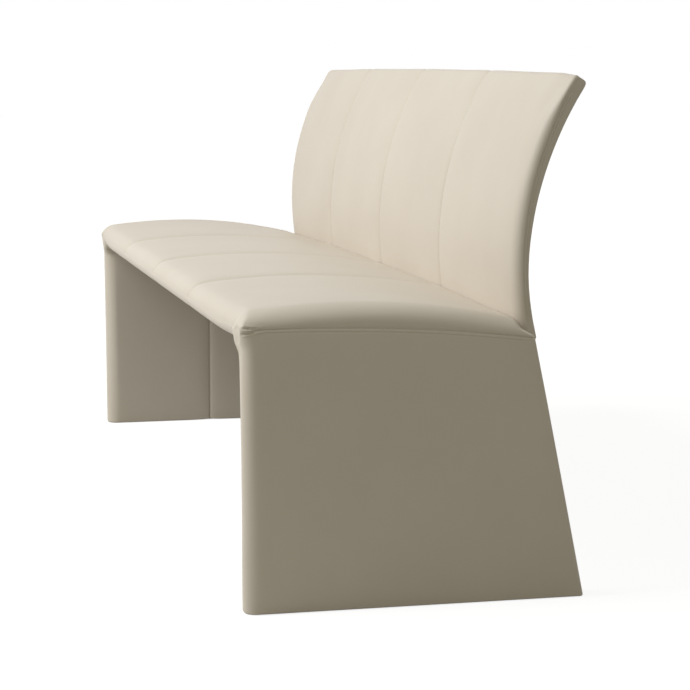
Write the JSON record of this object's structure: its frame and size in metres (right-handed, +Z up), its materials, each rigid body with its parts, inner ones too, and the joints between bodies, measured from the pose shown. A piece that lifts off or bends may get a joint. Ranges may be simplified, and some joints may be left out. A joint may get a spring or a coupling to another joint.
{
  "type": "upholstered bench",
  "caption": "Long leather-covered bench with a crowned panelled seat, padded panel legs and a low curved padded back on hidden uprights.",
  "frame": {"origin": "middle of the bench's outline, on the floor under the glides", "axes": "+X along the bench to its right end as seen from the front, +Y to the rear, +Z up"},
  "size_m": [1.9, 0.5756, 0.8451],
  "materials": {
    "cover_leather": "smooth semi-matte pale leather, sewn panels",
    "dust_cloth": "thin dark non-woven cloth",
    "foam": "cut polyurethane foam",
    "felt": "needled felt",
    "webbing": "elastic webbing",
    "frame_steel": "black powder coat",
    "board": "plywood, bare",
    "zinc_steel": "bright zinc",
    "glide_plastic": "moulded"
  },
  "bodies": {
    "root": {"seat_cover_1": "cover_leather", "seat_cover_2": "cover_leather", "seat_cover_3": "cover_leather", "seat_cover_4": "cover_leather", "leg_cover_left": "cover_leather", "leg_cover_right": "cover_leather", "back_front_cover_1": "cover_leather", "back_front_cover_2": "cover_leather", "back_front_cover_3": "cover_leather", "back_front_cover_4": "cover_leather", "back_rear_cover_1": "cover_leather", "back_rear_cover_2": "cover_leather", "back_rear_cover_3": "cover_leather", "back_rear_cover_4": "cover_leather", "dust_cover": "dust_cloth", "seat_foam": "foam", "leg_foam_left": "foam", "leg_foam_right": "foam", "corner_foam_left": "foam", "corner_foam_right": "foam", "back_front_foam": "foam", "back_rear_foam": "foam", "felt_pad": "felt", "webbing_straps": "webbing", "seat_front_rail": "frame_steel", "seat_rear_rail": "frame_steel", "seat_end_rail_left": "frame_steel", "seat_end_rail_right": "frame_steel", "seat_cross_rails": "frame_steel", "leg_plate_left": "frame_steel", "leg_plate_right": "frame_steel", "back_uprights": "frame_steel", "leg_core_left": "board", "leg_core_right": "board", "back_shell": "board", "webbing_clips": "zinc_steel", "leg_bolts": "zinc_steel", "barrel_nuts": "zinc_steel", "shell_screws": "zinc_steel", "glides": "glide_plastic"}
  },
  "joints": []
}
